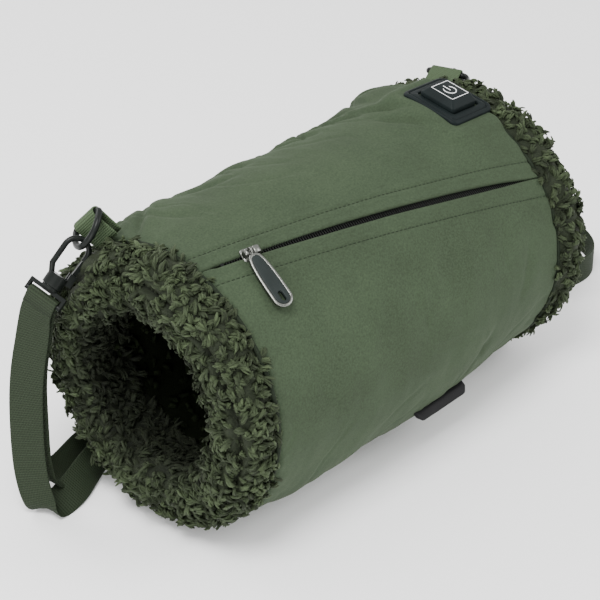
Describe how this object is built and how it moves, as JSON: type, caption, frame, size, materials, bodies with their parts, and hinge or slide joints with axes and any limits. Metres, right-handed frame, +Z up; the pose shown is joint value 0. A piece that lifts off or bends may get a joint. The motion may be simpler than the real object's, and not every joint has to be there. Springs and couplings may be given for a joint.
{
  "type": "hand warmer muff",
  "caption": "Padded fabric tube that warms both hands, with pile cuffs, a zipped pocket, a power button and a clip-on webbing strap.",
  "frame": {"origin": "on the floor, under the middle of the hand tunnel, in the flat face that the tube rests on", "axes": "+X along the hand tunnel towards the switch end, -Y towards the zipped side, +Z up"},
  "size_m": [0.4718, 0.1852, 0.1916],
  "materials": {
    "shell_fabric": "matt brushed microfibre, fine even weave",
    "polyester_wadding": "loose fibre",
    "fleece_lining": "short pile",
    "heater_film": "smooth film",
    "sherpa_pile": "long curly pile in soft clumps",
    "seam_binding": "narrow woven binding",
    "pocket_cloth": "thin plain weave",
    "label_cloth": "smooth satin",
    "zip_tape": "ribbed tape",
    "zip_coil": "nylon coil, slightly shiny",
    "zip_stop_metal": "semi gloss",
    "slider_metal": "brushed",
    "puller_metal": "bright, softly brushed",
    "puller_rubber": "matt slate grey",
    "switch_silicone": "matt silicone",
    "board_laminate": "solder mask",
    "tact_plastic": "moulded",
    "lead_jacket": "smooth jacket",
    "plug_plastic": "moulded",
    "plug_shield": "plated",
    "webbing": "ribbed twill webbing",
    "hardware_plastic": "moulded, fine grain",
    "ring_metal": "black, semi gloss",
    "hook_metal": "black, semi gloss"
  },
  "bodies": {
    "root": {"outer_shell": "shell_fabric", "wadding": "polyester_wadding", "hand_lining": "fleece_lining", "heating_pad": "heater_film", "near_cuff": "sherpa_pile", "far_cuff": "sherpa_pile", "near_seam_binding": "seam_binding", "far_seam_binding": "seam_binding", "pocket_bag": "pocket_cloth", "side_label": "label_cloth", "zip_tape_upper": "zip_tape", "zip_tape_lower": "zip_tape", "zip_chain": "zip_coil", "zip_end_stops": "zip_stop_metal", "switch_patch": "switch_silicone", "switch_board": "board_laminate", "tact_switch": "tact_plastic", "power_lead": "lead_jacket", "pad_lead": "lead_jacket", "usb_plug_body": "plug_plastic", "usb_plug_shield": "plug_shield", "near_webbing_tab": "webbing", "far_webbing_tab": "webbing", "strap": "webbing", "strap_doubled_layer": "webbing", "strap_adjuster": "hardware_plastic"},
    "zip_slider": {"zip_slider": "slider_metal"},
    "puller": {"puller_frame": "puller_metal", "puller_grips": "puller_rubber"},
    "switch_button": {"switch_button": "switch_silicone"},
    "near_hook_base": {"near_hook_base": "hook_metal"},
    "near_d_ring": {"near_d_ring": "ring_metal"},
    "near_hook": {"near_hook_frame": "hook_metal", "near_gate_pin": "hook_metal"},
    "near_hook_gate": {"near_hook_gate": "hook_metal"},
    "far_hook_base": {"far_hook_base": "hook_metal"},
    "far_d_ring": {"far_d_ring": "ring_metal"},
    "far_hook": {"far_hook_frame": "hook_metal", "far_gate_pin": "hook_metal"},
    "far_hook_gate": {"far_hook_gate": "hook_metal"}
  },
  "joints": [
    {"name": "zip_slider_travel", "type": "hinge", "parent": "root", "child": "zip_slider", "pos_m": [0.00274, 0.39696, -0.54839], "axis": [0.1992, 0.8293, 0.5222], "range_deg": [0, 13.44]},
    {"name": "puller_swing", "type": "hinge", "parent": "zip_slider", "child": "puller", "pos_m": [-0.09589, -0.03529, 0.17572], "axis": [-0.9733, 0.2295, 0.0067], "range_deg": [0, 150]},
    {"name": "power_button_press", "type": "slide", "parent": "root", "child": "switch_button", "axis": [-0.0697, 0.0612, -0.9957], "range_m": [0, 0.0008], "stiffness_N_per_m": 900, "springref_m": -0.0008},
    {"name": "near_strap_swing", "type": "hinge", "parent": "root", "child": "near_hook_base", "pos_m": [-0.1315, 0.0579, 0.1748], "axis": [-0.1709, 0.6556, -0.7355], "range_deg": [0, 22], "deforming": ["strap", "strap_doubled_layer"]},
    {"name": "near_ring_swing", "type": "hinge", "parent": "root", "child": "near_d_ring", "pos_m": [-0.1315, 0.0579, 0.1748], "axis": [-0.1709, 0.6556, -0.7355], "range_deg": [0, 22]},
    {"name": "near_hook_swivel", "type": "hinge", "parent": "near_hook_base", "child": "near_hook", "pos_m": [-0.14328, 0.0534, 0.16394], "axis": [-0.7053, 0.1329, -0.6963], "range_deg": [-35, 35]},
    {"name": "near_gate_open", "type": "hinge", "parent": "near_hook", "child": "near_hook_gate", "pos_m": [-0.15165, 0.05192, 0.14742], "axis": [-0.4613, -0.8318, 0.3086], "range_deg": [0, 18], "stiffness_Nm_per_rad": 0.02, "springref_deg": -11.46},
    {"name": "far_strap_swing", "type": "hinge", "parent": "root", "child": "far_hook_base", "pos_m": [0.148, 0.0245, 0.1782], "axis": [0.3632, -0.9315, -0.022], "range_deg": [0, 22], "deforming": ["strap"]},
    {"name": "far_ring_swing", "type": "hinge", "parent": "root", "child": "far_d_ring", "pos_m": [0.148, 0.0245, 0.1782], "axis": [0.3632, -0.9315, -0.022], "range_deg": [0, 22]},
    {"name": "far_hook_swivel", "type": "hinge", "parent": "far_hook_base", "child": "far_hook", "pos_m": [0.16053, 0.02964, 0.16743], "axis": [0.4182, 0.3983, -0.8164], "range_deg": [-30, 30]},
    {"name": "far_gate_open", "type": "hinge", "parent": "far_hook", "child": "far_hook_gate", "pos_m": [0.17285, 0.03917, 0.15733], "axis": [0.5367, -0.8334, -0.1316], "range_deg": [0, 18], "stiffness_Nm_per_rad": 0.02, "springref_deg": -11.46}
  ],
  "couplings": [
    {"joint": "near_ring_swing", "follows": "near_strap_swing", "ratio": 1},
    {"joint": "far_ring_swing", "follows": "far_strap_swing", "ratio": 1}
  ]
}
